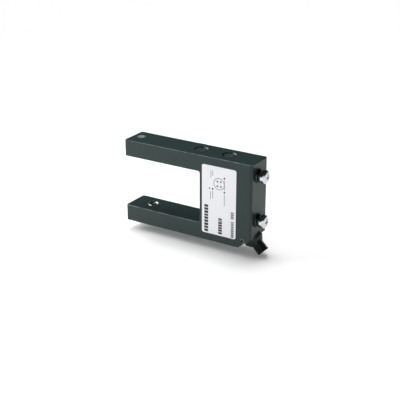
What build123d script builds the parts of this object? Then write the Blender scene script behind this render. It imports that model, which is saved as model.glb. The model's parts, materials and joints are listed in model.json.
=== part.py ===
from build123d import *
import math
import os

# Fork sensor: a U-shaped die-cast housing whose two arms look at each other across a gap.
# All sizes are in millimetres. X runs from the arm tips to the rear, Z is up.
# The origin is on the rear face, at mid thickness and at the middle of the gap's height.

# Fork
THICKNESS = 19.2
ARM_LENGTH = 55.2
BRIDGE_LENGTH = 35.8
ARM_HEIGHT = 10.5
GAP_HEIGHT = 33.0
WALL = 1.8
UPRIGHT_RADIUS = 1.6
EDGE_RADIUS = 0.4
GAP_CORNER_RADIUS = 1.2
CAVITY_CORNER_RADIUS = 0.8

# Sloping corner that carries the connector
SLOPE_ALONG = 8.6
SLOPE_UP = 6.8

# Back cover, its gasket and its countersunk screws
COVER_THICKNESS = 1.5
COVER_RIM = 0.9
COVER_CLEARANCE = 0.1
GASKET_THICKNESS = 0.4
COVER_SCREW_RADIUS = 0.95
COVER_SCREW_LENGTH = 6.0
COVER_HEAD_RADIUS = 1.9
COVER_HEAD_SLOT = 0.5
POST_RADIUS = 2.6
PEG_RADIUS = 1.7
ARM_POST_FROM_TIP = 28.0
FOOT_POST_FROM_REAR = 20.0
REAR_POST_SETBACK = 2.7
TOP_POST_DROP = 2.0

# Rear mounting screws with a spring washer and a flat washer under each head
UPPER_SCREW_FROM_TOP = 8.8
LOWER_SCREW_FROM_BOTTOM = 16.8
MOUNT_SCREW_Y = -0.8
MOUNT_SCREW_RADIUS = 1.95
MOUNT_SCREW_LENGTH = 10.0
MOUNT_HEAD_RADIUS = 4.15
MOUNT_HEAD_HEIGHT = 3.3
MOUNT_HEAD_CROWN = 1.55
MOUNT_RECESS_SPAN = 4.0
MOUNT_RECESS_WIDTH = 0.9
MOUNT_RECESS_FOOT = 0.7
MOUNT_RECESS_DEPTH = 1.7
MOUNT_BOSS_RADIUS = 3.6
MOUNT_BOSS_DEPTH = 9.0
FLAT_WASHER_RADIUS = 4.5
FLAT_WASHER_THICKNESS = 0.8
SPRING_WASHER_RADIUS = 3.75
SPRING_WASHER_WIRE = 0.95
SPRING_WASHER_HEIGHT = 2.05
SPRING_WASHER_TURN = 0.95
WASHER_BORE_RADIUS = 2.15

# Connector on the sloping corner
CONNECTOR_SETBACK = 3.5
CONNECTOR_TILT = 45.0
CONNECTOR_REACH = 10.4
NECK_RADIUS = 6.2
NECK_STRAIGHT = 1.2
NECK_HEIGHT = 3.3
NECK_TOP_RADIUS = 4.7
BARREL_RADIUS = 4.2
BARREL_DEPTH = 6.6
COLLAR_RADIUS = 4.5
COLLAR_HEIGHT = 0.7
THREAD_RADIUS = 4.0
THREAD_LEAD_IN = 0.25
THREAD_RELIEF_WIDTH = 0.4
THREAD_RELIEF_DEPTH = 0.5
SOCKET_RADIUS = 3.1
SOCKET_DEPTH = 5.9
INSERT_RADIUS = 3.35
KEY_WIDTH = 1.0
KEY_DEPTH = 0.6
PIN_RADIUS = 0.5
PIN_CIRCLE_RADIUS = 1.5
PIN_COUNT = 4
PIN_STAND = 4.6
PIN_TAIL = 1.4
PIN_TIP_RADIUS = 0.2
PIN_TIP_LENGTH = 0.5
SEAL_THICKNESS = 0.4
SEAL_WIDTH = 0.6
SEAL_DEPTH = 3.0
LEAD_RADIUS = 0.45
LEAD_FIRST_RUN = 1.6
LEAD_STEP = 1.3

# Screw that locks the connector, in the front face
LOCK_SCREW_FROM_REAR = 5.9
LOCK_SCREW_HEIGHT = 4.8
LOCK_SCREW_RADIUS = 1.5
LOCK_SCREW_SINK = 0.4
LOCK_KEY_ACROSS = 2.0
LOCK_KEY_DEPTH = 1.6
LOCK_BOSS_RADIUS = 2.7

# Optics in the facing sides of the arms
OPTICS_FROM_TIP = 14.5
OPTICS_Y = 0.9
BEZEL_RADIUS = 3.95
BEZEL_THICKNESS = 0.95
BEZEL_OPENING_RADIUS = 2.2
BEZEL_CHAMFER = 0.3
BEZEL_CROWN = 0.3
LENS_RADIUS = 3.15
LENS_DOME_HEIGHT = 0.65
LENS_BACK_THICKNESS = 1.4
HOLDER_LENGTH = 6.8
HOLDER_DEPTH = 4.0
HOLDER_LIGHT_BORE = 2.1
DIODE_RADIUS = 1.5
DIODE_HEIGHT = 3.0
DIODE_LEG = 0.5
DIODE_LEG_SPACING = 1.3

# Indicator window and its lamp near the tip of the upper arm
INDICATOR_FROM_TIP = 5.8
INDICATOR_Y = 0.75
INDICATOR_RADIUS = 2.7
INDICATOR_RIM = 1.0
INDICATOR_STEM_RADIUS = 2.1
INDICATOR_DOME = 0.45
LAMP_LENGTH = 3.2
LAMP_HEIGHT = 1.8

# Circuit board, shaped like the fork
BOARD_THICKNESS = 1.0
BOARD_FRONT_Y = 4.6
BOARD_CLEARANCE = 0.4
CHIP_SIDE = 7.0
CHIP_THICKNESS = 1.0
DRIVER_LENGTH = 5.0
DRIVER_WIDTH = 4.0
DRIVER_THICKNESS = 1.5
CAPACITOR_RADIUS = 2.5
CAPACITOR_HEIGHT = 5.5
CAPACITOR_PITCH = 6.0
CHIP_PITCH = 10.0

# Rotary adjusters in the top face
SENSITIVITY_FROM_REAR = 21.3
SENSITIVITY_SLOTS = (30,)
MODE_FROM_REAR = 41.0
MODE_SLOTS = (0, 90)
ADJUSTER_Y = 0.5
WELL_RADIUS = 3.95
BUSH_SINK = 0.55
BUSH_DEPTH = 3.6
BUSH_FLOOR = 0.8
ROTOR_RADIUS = 3.0
ROTOR_SINK = 0.6
ROTOR_THICKNESS = 1.5
ROTOR_SLOT_WIDTH = 0.9
ROTOR_SLOT_DEPTH = 0.9
ROTOR_SLOT_MARGIN = 0.3
ROTOR_SHAFT_RADIUS = 1.2
ROTOR_SHAFT_ENGAGEMENT = 2.0
RING_HEIGHT = 0.6
RING_WIDTH = 0.7
ADJUSTER_CASE_WIDTH = 8.0

# Rating label on the front face
LABEL_FROM_REAR = 10.2
LABEL_WIDTH = 23.7
LABEL_HEIGHT = 44.0
LABEL_CORNER_RADIUS = 1.3
LABEL_THICKNESS = 0.15

# Clearances
SEAT_CLEARANCE = 0.05
RUNNING_CLEARANCE = 0.06
INNER_CLEARANCE = 0.4

# Places worked out from the sizes above
LENGTH = ARM_LENGTH + BRIDGE_LENGTH
HEIGHT = GAP_HEIGHT + 2 * ARM_HEIGHT
TOP = HEIGHT / 2
FRONT = -THICKNESS / 2
BACK = THICKNESS / 2
ARM_MIDDLE = GAP_HEIGHT / 2 + ARM_HEIGHT / 2
GAP_WALL_X = -BRIDGE_LENGTH
LEDGE_Y = BACK - COVER_THICKNESS - GASKET_THICKNESS
COVER_INNER_Y = BACK - COVER_THICKNESS
CAVITY_FRONT_Y = FRONT + WALL
MOUNT_HEIGHTS = (TOP - UPPER_SCREW_FROM_TOP, -TOP + LOWER_SCREW_FROM_BOTTOM)
WASHER_STACK = FLAT_WASHER_THICKNESS + SPRING_WASHER_HEIGHT
OPTICS_X = -LENGTH + OPTICS_FROM_TIP
INDICATOR_X = -LENGTH + INDICATOR_FROM_TIP
SOCKET_FLOOR = CONNECTOR_REACH - SOCKET_DEPTH
BUSH_FLOOR_TOP = -BUSH_DEPTH + BUSH_FLOOR
SCREW_HOLE_RADIUS = COVER_SCREW_RADIUS + SEAT_CLEARANCE
MOSTLY = 0.99


def outline():
    """Side view of the fork: two arms, the gap between them and the sloping corner."""
    corners = [
        (-LENGTH, TOP), (0, TOP),
        (0, -TOP + SLOPE_UP), (-SLOPE_ALONG, -TOP), (-LENGTH, -TOP),
        (-LENGTH, -GAP_HEIGHT / 2), (GAP_WALL_X, -GAP_HEIGHT / 2),
        (GAP_WALL_X, GAP_HEIGHT / 2), (-LENGTH, GAP_HEIGHT / 2),
    ]
    return make_face(Polyline(*corners, close=True))


def inset(distance, corner=0.0):
    """The fork's side view, drawn in by a distance, with its corners rounded."""
    face = offset(outline(), amount=-distance, kind=Kind.INTERSECTION)
    return fillet(face.vertices(), corner) if corner else face


def in_depth(sketch, front, back):
    """Solid of a side view between two depths."""
    return extrude(Plane.XZ.offset(-back) * sketch, back - front)


def turned(*profile):
    """Solid turned about Z from corners given as radius and height."""
    return revolve(Plane.XZ * make_face(Polyline(*profile, close=True)), Axis.Z)


def cap_arc(radius, base, height):
    """Arc of a spherical cap's side view, from its rim to its top on the axis."""
    sphere = (radius ** 2 + height ** 2) / (2 * height)
    half = math.asin(radius / sphere) / 2
    middle = (sphere * math.sin(half), base + height - sphere * (1 - math.cos(half)))
    return ThreePointArc((radius, base), middle, (0, base + height))


def rod(radius, low, high):
    """Cylinder about Z between two heights."""
    return Pos(0, 0, low) * Cylinder(radius, high - low, align=(Align.CENTER, Align.CENTER, Align.MIN))


def block(x, y, z):
    """Box between two values on each axis."""
    size = (x[1] - x[0], y[1] - y[0], z[1] - z[0])
    return Pos(x[0], y[0], z[0]) * Box(*size, align=(Align.MIN, Align.MIN, Align.MIN))


def across(x, z, radius, front, back):
    """Cylinder through the thickness, between two depths."""
    return Pos(x, back, z) * Rot(90, 0, 0) * rod(radius, 0, back - front)


def rounded_upright():
    """Block that rounds the upright edges at the tips and at the rear."""
    plan = RectangleRounded(LENGTH, THICKNESS, UPRIGHT_RADIUS)
    return Pos(-LENGTH / 2, 0, -TOP) * extrude(plan, HEIGHT)


def connector_plane():
    """Plane across the connector's axis, where the axis leaves the sloping face."""
    tilt = math.radians(CONNECTOR_TILT)
    rise = (SLOPE_ALONG - CONNECTOR_SETBACK) * SLOPE_UP / SLOPE_ALONG
    origin = (-CONNECTOR_SETBACK, 0, -TOP + rise)
    return Plane(origin=origin, x_dir=(0, 1, 0), z_dir=(math.sin(tilt), 0, -math.cos(tilt)))


def cover_posts():
    """Places of the posts that carry the board and the cover, as X and Z."""
    rear = -WALL - REAR_POST_SETBACK
    gap_side = GAP_WALL_X + WALL + POST_RADIUS - EDGE_RADIUS / 2
    return [
        (-LENGTH + ARM_POST_FROM_TIP, ARM_MIDDLE),
        (-LENGTH + ARM_POST_FROM_TIP, -ARM_MIDDLE),
        (gap_side, 0),
        (rear, sum(MOUNT_HEIGHTS) / 2),
        (rear, TOP - WALL - TOP_POST_DROP),
        (-FOOT_POST_FROM_REAR, -ARM_MIDDLE),
    ]


def mount_plane(height):
    """Plane on the rear face at one mounting screw, with its normal to the rear."""
    return Plane(origin=(0, MOUNT_SCREW_Y, height), x_dir=(0, 1, 0), z_dir=(1, 0, 0))


def arm_plane(x, y):
    """Plane on the lower arm's inner face, facing across the gap."""
    return Plane(origin=(x, y, -GAP_HEIGHT / 2), x_dir=(1, 0, 0), z_dir=(0, 0, 1))


def top_plane(x, y):
    """Plane on the top face."""
    return Plane(origin=(x, y, TOP), x_dir=(1, 0, 0), z_dir=(0, 0, 1))


def is_sharp(edge):
    """True for an outer edge that is softened, and not a seam between a flat and a rounding."""
    middle = edge.position_at(0.5)
    along = edge.tangent_at(0.5)
    near_gap_wall = abs(middle.X - GAP_WALL_X) < GAP_CORNER_RADIUS + EDGE_RADIUS
    if near_gap_wall and abs(middle.Z) < GAP_HEIGHT / 2 + EDGE_RADIUS:
        return abs(along.Y) < MOSTLY
    return abs(along.Z) < MOSTLY


def housing_body():
    """Outer form of the casting before it is hollowed."""
    face = outline()
    gap_corners = [v for v in face.vertices() if abs(v.X - GAP_WALL_X) < EDGE_RADIUS]
    body = in_depth(fillet(gap_corners, GAP_CORNER_RADIUS), FRONT, BACK) & rounded_upright()
    return fillet([edge for edge in body.edges() if is_sharp(edge)], EDGE_RADIUS)


def bosses():
    """Solid posts and bosses inside the casting, before their holes are cut."""
    inside = in_depth(inset(WALL / 2), FRONT, BACK)
    lock_x, lock_z = lock_place()
    parts = [across(lock_x, lock_z, LOCK_BOSS_RADIUS, CAVITY_FRONT_Y, 0) & inside]
    for x, z in cover_posts():
        parts.append(across(x, z, POST_RADIUS, CAVITY_FRONT_Y, BOARD_FRONT_Y) & inside)
        parts.append(across(x, z, PEG_RADIUS, BOARD_FRONT_Y, COVER_INNER_Y))
    for height in MOUNT_HEIGHTS:
        parts.append(mount_plane(height) * rod(MOUNT_BOSS_RADIUS, -MOUNT_BOSS_DEPTH - WALL, -WALL))
    return parts


def screw_holes():
    """Holes for the mounting screws, the cover's screws and the connector's locking screw."""
    hole_end = COVER_INNER_Y - COVER_SCREW_LENGTH - SEAT_CLEARANCE
    lock_x, lock_z = lock_place()
    holes = [across(lock_x, lock_z, LOCK_SCREW_RADIUS + SEAT_CLEARANCE, FRONT, 0)]
    for x, z in cover_posts():
        holes.append(across(x, z, SCREW_HOLE_RADIUS, hole_end, COVER_INNER_Y))
    for height in MOUNT_HEIGHTS:
        holes.append(mount_plane(height) * rod(MOUNT_SCREW_RADIUS + SEAT_CLEARANCE, -MOUNT_BOSS_DEPTH, 0))
    return holes


def openings():
    """Openings in the casting for the optics, the indicator, the adjusters and the connector."""
    window = rod(INDICATOR_RADIUS, -INDICATOR_RIM, 0) + rod(INDICATOR_STEM_RADIUS, -WALL - EDGE_RADIUS, 0)
    well = rod(WELL_RADIUS, -WALL - EDGE_RADIUS, 0) + turned(
        (0, -BUSH_SINK), (WELL_RADIUS, -BUSH_SINK), (WELL_RADIUS + BUSH_SINK, 0), (0, 0)
    )
    return [
        optics_cut(),
        mirror(optics_cut(), about=Plane.XY),
        top_plane(INDICATOR_X, INDICATOR_Y) * window,
        top_plane(-SENSITIVITY_FROM_REAR, ADJUSTER_Y) * well,
        top_plane(-MODE_FROM_REAR, ADJUSTER_Y) * well,
        connector_plane() * rod(BARREL_RADIUS + SEAT_CLEARANCE, -BARREL_DEPTH - WALL, NECK_HEIGHT),
    ]


def housing():
    """Die-cast housing: hollow, open to the back, with posts, bosses and the connector neck."""
    neck = turned(
        (0, -BARREL_DEPTH), (NECK_RADIUS, -BARREL_DEPTH), (NECK_RADIUS, NECK_STRAIGHT),
        (NECK_TOP_RADIUS, NECK_HEIGHT), (0, NECK_HEIGHT),
    )
    cavity = in_depth(inset(WALL, CAVITY_CORNER_RADIUS), CAVITY_FRONT_Y, BACK)
    cavity += in_depth(inset(COVER_RIM), LEDGE_Y, BACK)
    body = housing_body() - cavity + connector_plane() * neck
    for boss in bosses():
        body += boss
    for cut in screw_holes() + openings():
        body -= cut
    return body


def lock_place():
    """Place of the connector's locking screw on the front face, as X and Z."""
    return -LOCK_SCREW_FROM_REAR, -TOP + LOCK_SCREW_HEIGHT


def optics_cut():
    """Opening in the lower arm's inner face for the bezel and the lens."""
    seat = rod(BEZEL_RADIUS, -BEZEL_THICKNESS - SEAT_CLEARANCE, 0)
    bore = rod(LENS_RADIUS + SEAT_CLEARANCE, -WALL - EDGE_RADIUS, 0)
    return arm_plane(OPTICS_X, OPTICS_Y) * (seat + bore)


def back_cover():
    """Flat cover, flush in the housing's back, with a countersunk hole at each post."""
    plate = in_depth(inset(COVER_RIM + COVER_CLEARANCE), COVER_INNER_Y, BACK) & rounded_upright()
    for x, z in cover_posts():
        plate -= Pos(x, BACK, z) * Rot(90, 0, 0) * turned(
            (0, 0), (COVER_HEAD_RADIUS + SEAT_CLEARANCE, 0),
            (SCREW_HOLE_RADIUS, COVER_HEAD_RADIUS - COVER_SCREW_RADIUS),
            (SCREW_HOLE_RADIUS, COVER_THICKNESS), (0, COVER_THICKNESS),
        )
    return plate


def cover_gasket():
    """Flat gasket on the ledge under the cover's edge."""
    ring = in_depth(inset(COVER_RIM + COVER_CLEARANCE), LEDGE_Y, COVER_INNER_Y)
    return ring - in_depth(inset(WALL, CAVITY_CORNER_RADIUS), LEDGE_Y, COVER_INNER_Y)


def cover_screw():
    """Countersunk slotted screw along Z, with the top of its head at Z zero."""
    head = COVER_HEAD_RADIUS - COVER_SCREW_RADIUS
    end = COVER_THICKNESS + COVER_SCREW_LENGTH
    body = turned(
        (0, 0), (COVER_HEAD_RADIUS, 0), (COVER_SCREW_RADIUS, head),
        (COVER_SCREW_RADIUS, end), (0, end),
    )
    half = COVER_HEAD_SLOT / 2
    return body - block((-COVER_HEAD_RADIUS, COVER_HEAD_RADIUS), (-half, half), (0, head / 2))


def cover_screws():
    """All of the cover's screws, one at each post."""
    return Compound([Pos(x, BACK, z) * Rot(90, 0, 0) * cover_screw() for x, z in cover_posts()])


def mount_screw():
    """Pan-head screw with a cross recess, along Z, with its seat at the top of the washers."""
    seat = WASHER_STACK
    crown = seat + MOUNT_HEAD_HEIGHT
    shoulder = crown - MOUNT_HEAD_CROWN
    side = Line((MOUNT_HEAD_RADIUS, seat), (MOUNT_HEAD_RADIUS, shoulder))
    dome = EllipticalCenterArc((0, shoulder), MOUNT_HEAD_RADIUS, MOUNT_HEAD_CROWN, start_angle=0, arc_size=90)
    rest = Polyline(
        (0, crown), (0, seat - MOUNT_SCREW_LENGTH), (MOUNT_SCREW_RADIUS, seat - MOUNT_SCREW_LENGTH),
        (MOUNT_SCREW_RADIUS, seat), (MOUNT_HEAD_RADIUS, seat),
    )
    body = revolve(Plane.XZ * make_face([side, dome, rest]), Axis.Z)
    wing = loft([
        Pos(0, 0, crown - MOUNT_RECESS_DEPTH) * Rectangle(MOUNT_RECESS_WIDTH, MOUNT_RECESS_FOOT),
        Pos(0, 0, crown) * Rectangle(MOUNT_RECESS_SPAN, MOUNT_RECESS_WIDTH),
    ])
    for turn in (0, 90):
        body -= Rot(0, 0, turn) * wing
    return body


def flat_washer():
    """Flat washer on the rear face."""
    disc = rod(FLAT_WASHER_RADIUS, 0, FLAT_WASHER_THICKNESS)
    return disc - rod(WASHER_BORE_RADIUS, 0, FLAT_WASHER_THICKNESS)


def spring_washer():
    """Split spring washer, one turn of a square wire, between the flat washer and the head."""
    mean_radius = (SPRING_WASHER_RADIUS + WASHER_BORE_RADIUS) / 2
    rise = SPRING_WASHER_HEIGHT - SPRING_WASHER_WIRE
    path = Helix(pitch=rise, height=rise * SPRING_WASHER_TURN, radius=mean_radius)
    section = Plane(origin=path @ 0, x_dir=(1, 0, 0), z_dir=path % 0) * Rectangle(
        SPRING_WASHER_RADIUS - WASHER_BORE_RADIUS, SPRING_WASHER_WIRE
    )
    ring = sweep(section, path=path, is_frenet=True)
    middle = FLAT_WASHER_THICKNESS + SPRING_WASHER_HEIGHT / 2
    return Pos(0, 0, middle - ring.bounding_box().center().Z) * ring


def seal_groove():
    """Span along the connector's axis of the groove for its sealing ring, lower end first."""
    upper = NECK_HEIGHT - SEAL_DEPTH
    return upper - SEAL_WIDTH - 2 * SEAT_CLEARANCE, upper


def connector_shell():
    """Threaded connector shell: barrel in the housing, collar, thread and socket."""
    seat = NECK_HEIGHT
    collar = seat + COLLAR_HEIGHT
    relief = collar + THREAD_RELIEF_WIDTH
    groove_low, groove_high = seal_groove()
    groove_radius = BARREL_RADIUS - SEAL_THICKNESS
    return turned(
        (INSERT_RADIUS + SEAT_CLEARANCE, -BARREL_DEPTH), (BARREL_RADIUS, -BARREL_DEPTH),
        (BARREL_RADIUS, groove_low), (groove_radius, groove_low),
        (groove_radius, groove_high), (BARREL_RADIUS, groove_high),
        (BARREL_RADIUS, seat), (COLLAR_RADIUS, seat), (COLLAR_RADIUS, collar),
        (THREAD_RADIUS - THREAD_RELIEF_DEPTH, collar), (THREAD_RADIUS - THREAD_RELIEF_DEPTH, relief),
        (THREAD_RADIUS, relief), (THREAD_RADIUS, CONNECTOR_REACH - THREAD_LEAD_IN),
        (THREAD_RADIUS - THREAD_LEAD_IN, CONNECTOR_REACH), (SOCKET_RADIUS, CONNECTOR_REACH),
        (SOCKET_RADIUS, SOCKET_FLOOR), (INSERT_RADIUS + SEAT_CLEARANCE, SOCKET_FLOOR),
    )


def pin_places():
    """Places of the contact pins across the connector's axis."""
    return PolarLocations(PIN_CIRCLE_RADIUS, PIN_COUNT, start_angle=180 / PIN_COUNT)


def connector_insert():
    """Insulating insert that holds the pins."""
    body = rod(INSERT_RADIUS, -BARREL_DEPTH, SOCKET_FLOOR)
    for place in pin_places():
        body -= place * rod(PIN_RADIUS + SEAT_CLEARANCE, -BARREL_DEPTH, SOCKET_FLOOR)
    return body


def connector_key():
    """Key rib on the socket's wall, on the insert."""
    edge = SOCKET_RADIUS - SEAT_CLEARANCE
    height = (SOCKET_FLOOR, SOCKET_FLOOR + PIN_STAND)
    return block((edge - KEY_DEPTH, edge), (-KEY_WIDTH / 2, KEY_WIDTH / 2), height) & rod(edge, *height)


def contact_pins():
    """Contact pins with bevelled tips, through the insert."""
    low = -BARREL_DEPTH - PIN_TAIL
    tip = SOCKET_FLOOR + PIN_STAND
    pin = turned(
        (0, low), (PIN_RADIUS, low), (PIN_RADIUS, tip - PIN_TIP_LENGTH), (PIN_TIP_RADIUS, tip), (0, tip)
    )
    return Compound([place * pin for place in pin_places()])


def connector_leads():
    """Short leads from the pins' tails to the face of the board."""
    plane = connector_plane()
    start = -BARREL_DEPTH - PIN_TAIL
    leads = []
    for place in pin_places():
        x, y = place.position.X, place.position.Y
        turn = start - LEAD_FIRST_RUN - (LEAD_STEP if x < 0 else 0)
        path = Polyline((x, y, start), (x, y, turn), (BOARD_FRONT_Y, y, turn))
        section = Pos(x, y, start) * Circle(LEAD_RADIUS)
        leads.append(plane * sweep(section, path=path, transition=Transition.RIGHT))
    return Compound(leads)


def connector_seal():
    """Square-section sealing ring in the groove round the connector's barrel."""
    low, high = seal_groove()
    span = (low + SEAT_CLEARANCE, high - SEAT_CLEARANCE)
    return rod(BARREL_RADIUS, *span) - rod(BARREL_RADIUS - SEAL_THICKNESS + SEAT_CLEARANCE, *span)


def lock_screw():
    """Socket set screw in the front face, pointing at the connector's barrel."""
    x, z = lock_place()
    start = FRONT + LOCK_SCREW_SINK
    body = across(x, z, LOCK_SCREW_RADIUS, start, -BARREL_RADIUS - SEAT_CLEARANCE)
    key = extrude(RegularPolygon(LOCK_KEY_ACROSS / 2, 6, major_radius=False), LOCK_KEY_DEPTH)
    return body - Pos(x, start + LOCK_KEY_DEPTH, z) * Rot(90, 0, 0) * key


def bezel():
    """Ring round a lens, with a round crown just over the arm's inner face."""
    top = -SEAT_CLEARANCE
    low = -BEZEL_THICKNESS - SEAT_CLEARANCE
    outer = BEZEL_RADIUS - SEAT_CLEARANCE
    inner = BEZEL_OPENING_RADIUS + BEZEL_CHAMFER
    crown = ThreePointArc((outer, top), ((outer + inner) / 2, top + BEZEL_CROWN), (inner, top))
    rest = Polyline(
        crown @ 1, (BEZEL_OPENING_RADIUS, top - BEZEL_CHAMFER), (BEZEL_OPENING_RADIUS, low),
        (outer, low), crown @ 0,
    )
    ring = revolve(Plane.XZ * make_face([crown, rest]), Axis.Z)
    return arm_plane(OPTICS_X, OPTICS_Y) * ring


def lens():
    """Plano-convex lens, its dome inside the bezel's opening."""
    flange = -BEZEL_THICKNESS - SEAT_CLEARANCE
    back = flange - LENS_BACK_THICKNESS
    dome_radius = BEZEL_OPENING_RADIUS - SEAT_CLEARANCE
    dome = cap_arc(dome_radius, flange, LENS_DOME_HEIGHT)
    rest = Polyline(
        dome @ 1, (0, back), (LENS_RADIUS, back), (LENS_RADIUS, flange), (dome_radius, flange)
    )
    return arm_plane(OPTICS_X, OPTICS_Y) * revolve(Plane.XZ * make_face([dome, rest]), Axis.Z)


def holder_span():
    """Heights of the holder below the arm's inner face, lower end first."""
    top = -BEZEL_THICKNESS - LENS_BACK_THICKNESS - 2 * SEAT_CLEARANCE
    return top - HOLDER_DEPTH, top


def diode_holder():
    """Block on the board that keeps a diode square behind its lens."""
    low, high = holder_span()
    half = HOLDER_LENGTH / 2
    body = block((-half, half), (-half, BOARD_FRONT_Y - OPTICS_Y), (low, high))
    body -= rod(DIODE_RADIUS + SEAT_CLEARANCE, low, high)
    neck = high - DIODE_RADIUS
    body -= turned((0, high), (HOLDER_LIGHT_BORE, high), (DIODE_RADIUS, neck), (0, neck))
    return arm_plane(OPTICS_X, OPTICS_Y) * body


def diode(domed):
    """Diode with two legs bent to the board; the emitter is domed and the receiver is flat."""
    low, _ = holder_span()
    shoulder = low + DIODE_HEIGHT - DIODE_RADIUS
    body = rod(DIODE_RADIUS, low, shoulder)
    flat_end = rod(DIODE_RADIUS, low, low + DIODE_HEIGHT)
    body += Pos(0, 0, shoulder) * Sphere(DIODE_RADIUS) if domed else flat_end
    for side in (-1, 1):
        middle = side * DIODE_LEG_SPACING / 2
        leg_x = (middle - DIODE_LEG / 2, middle + DIODE_LEG / 2)
        body += block(leg_x, (-DIODE_LEG / 2, BOARD_FRONT_Y - OPTICS_Y), (low - DIODE_LEG, low))
    return arm_plane(OPTICS_X, OPTICS_Y) * body


def indicator_window():
    """Stepped light window, slightly domed above the top face."""
    rim = INDICATOR_RADIUS - SEAT_CLEARANCE
    stem = INDICATOR_STEM_RADIUS - SEAT_CLEARANCE
    dome = cap_arc(rim, 0, INDICATOR_DOME)
    rest = Polyline(
        dome @ 1, (0, -WALL), (stem, -WALL), (stem, -INDICATOR_RIM), (rim, -INDICATOR_RIM), (rim, 0)
    )
    return top_plane(INDICATOR_X, INDICATOR_Y) * revolve(Plane.XZ * make_face([dome, rest]), Axis.Z)


def indicator_lamp():
    """Indicator lamp on the board, just under the window."""
    top = TOP - WALL - BOARD_CLEARANCE
    half = LAMP_LENGTH / 2
    length = (INDICATOR_X - half, INDICATOR_X + half)
    return block(length, (INDICATOR_Y - half, BOARD_FRONT_Y), (top - LAMP_HEIGHT, top))


def circuit_board():
    """U-shaped board on the posts, cut away round the connector."""
    board = in_depth(inset(WALL + BOARD_CLEARANCE), BOARD_FRONT_Y, BOARD_FRONT_Y + BOARD_THICKNESS)
    for x, z in cover_posts():
        board -= across(x, z, PEG_RADIUS + SEAT_CLEARANCE, BOARD_FRONT_Y, BOARD_FRONT_Y + BOARD_THICKNESS)
    clear = rod(NECK_RADIUS + INNER_CLEARANCE, -BARREL_DEPTH - INNER_CLEARANCE, LENGTH / 2)
    return board - connector_plane() * clear


def board_back():
    """Depth of the board's rear surface."""
    return BOARD_FRONT_Y + BOARD_THICKNESS


def controller_chip():
    """Flat square chip on the board's rear surface."""
    x = -BRIDGE_LENGTH / 2
    half = CHIP_SIDE / 2
    return block((x - half, x + half), (board_back(), board_back() + CHIP_THICKNESS), (-half, half))


def output_driver():
    """Output driver on the board's rear surface, below the controller."""
    x = -BRIDGE_LENGTH / 2
    z = -CHIP_PITCH
    length = (x - DRIVER_LENGTH / 2, x + DRIVER_LENGTH / 2)
    width = (z - DRIVER_WIDTH / 2, z + DRIVER_WIDTH / 2)
    return block(length, (board_back(), board_back() + DRIVER_THICKNESS), width)


def supply_capacitors():
    """Supply capacitors on the board's front surface."""
    x = -BRIDGE_LENGTH / 2
    front = BOARD_FRONT_Y - CAPACITOR_HEIGHT
    heights = (-CAPACITOR_PITCH / 2, CAPACITOR_PITCH / 2)
    return Compound([across(x, z, CAPACITOR_RADIUS, front, BOARD_FRONT_Y) for z in heights])


def adjuster_bush(distance):
    """Sleeve in the top face in which a rotor turns."""
    outer = WELL_RADIUS - SEAT_CLEARANCE
    bore = ROTOR_RADIUS + RUNNING_CLEARANCE
    shaft = ROTOR_SHAFT_RADIUS + RUNNING_CLEARANCE
    sleeve = turned(
        (shaft, -BUSH_DEPTH), (outer, -BUSH_DEPTH), (outer, -BUSH_SINK),
        (bore, -BUSH_SINK), (bore, BUSH_FLOOR_TOP), (shaft, BUSH_FLOOR_TOP),
    )
    return top_plane(-distance, ADJUSTER_Y) * sleeve


def adjuster_rotor(distance, slots):
    """Rotor with a driver slot, or a cross of two, and a shaft down into its case."""
    low = -ROTOR_SINK - ROTOR_THICKNESS
    end = -BUSH_DEPTH - ROTOR_SHAFT_ENGAGEMENT
    body = turned(
        (0, -ROTOR_SINK), (ROTOR_RADIUS, -ROTOR_SINK), (ROTOR_RADIUS, low),
        (ROTOR_SHAFT_RADIUS, low), (ROTOR_SHAFT_RADIUS, end), (0, end),
    )
    half = ROTOR_SLOT_WIDTH / 2
    reach = ROTOR_RADIUS - ROTOR_SLOT_MARGIN
    slot = block((-reach, reach), (-half, half), (-ROTOR_SINK - ROTOR_SLOT_DEPTH, -ROTOR_SINK))
    for turn in slots:
        body -= Rot(0, 0, turn) * slot
    return top_plane(-distance, ADJUSTER_Y) * body


def adjuster_seal(distance):
    """Square-section sealing ring on the bush's floor, round the rotor's shaft."""
    middle = (ROTOR_SHAFT_RADIUS + ROTOR_RADIUS) / 2
    span = (BUSH_FLOOR_TOP, BUSH_FLOOR_TOP + RING_HEIGHT)
    ring = rod(middle + RING_WIDTH / 2, *span) - rod(middle - RING_WIDTH / 2, *span)
    return top_plane(-distance, ADJUSTER_Y) * ring


def adjuster_case(distance):
    """Case of the adjuster under its bush, against the face of the board."""
    low = -ARM_HEIGHT + WALL + INNER_CLEARANCE
    half = ADJUSTER_CASE_WIDTH / 2
    body = block((-half, half), (-half, BOARD_FRONT_Y - ADJUSTER_Y), (low, -BUSH_DEPTH))
    shaft = ROTOR_SHAFT_RADIUS + RUNNING_CLEARANCE
    body -= rod(shaft, -BUSH_DEPTH - ROTOR_SHAFT_ENGAGEMENT - INNER_CLEARANCE, -BUSH_DEPTH)
    return top_plane(-distance, ADJUSTER_Y) * body


def label():
    """Rating label with rounded corners on the front face."""
    sheet = RectangleRounded(LABEL_WIDTH, LABEL_HEIGHT, LABEL_CORNER_RADIUS)
    middle = -LABEL_FROM_REAR - LABEL_WIDTH / 2
    return in_depth(Pos(middle, 0) * sheet, FRONT - LABEL_THICKNESS, FRONT)


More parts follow.
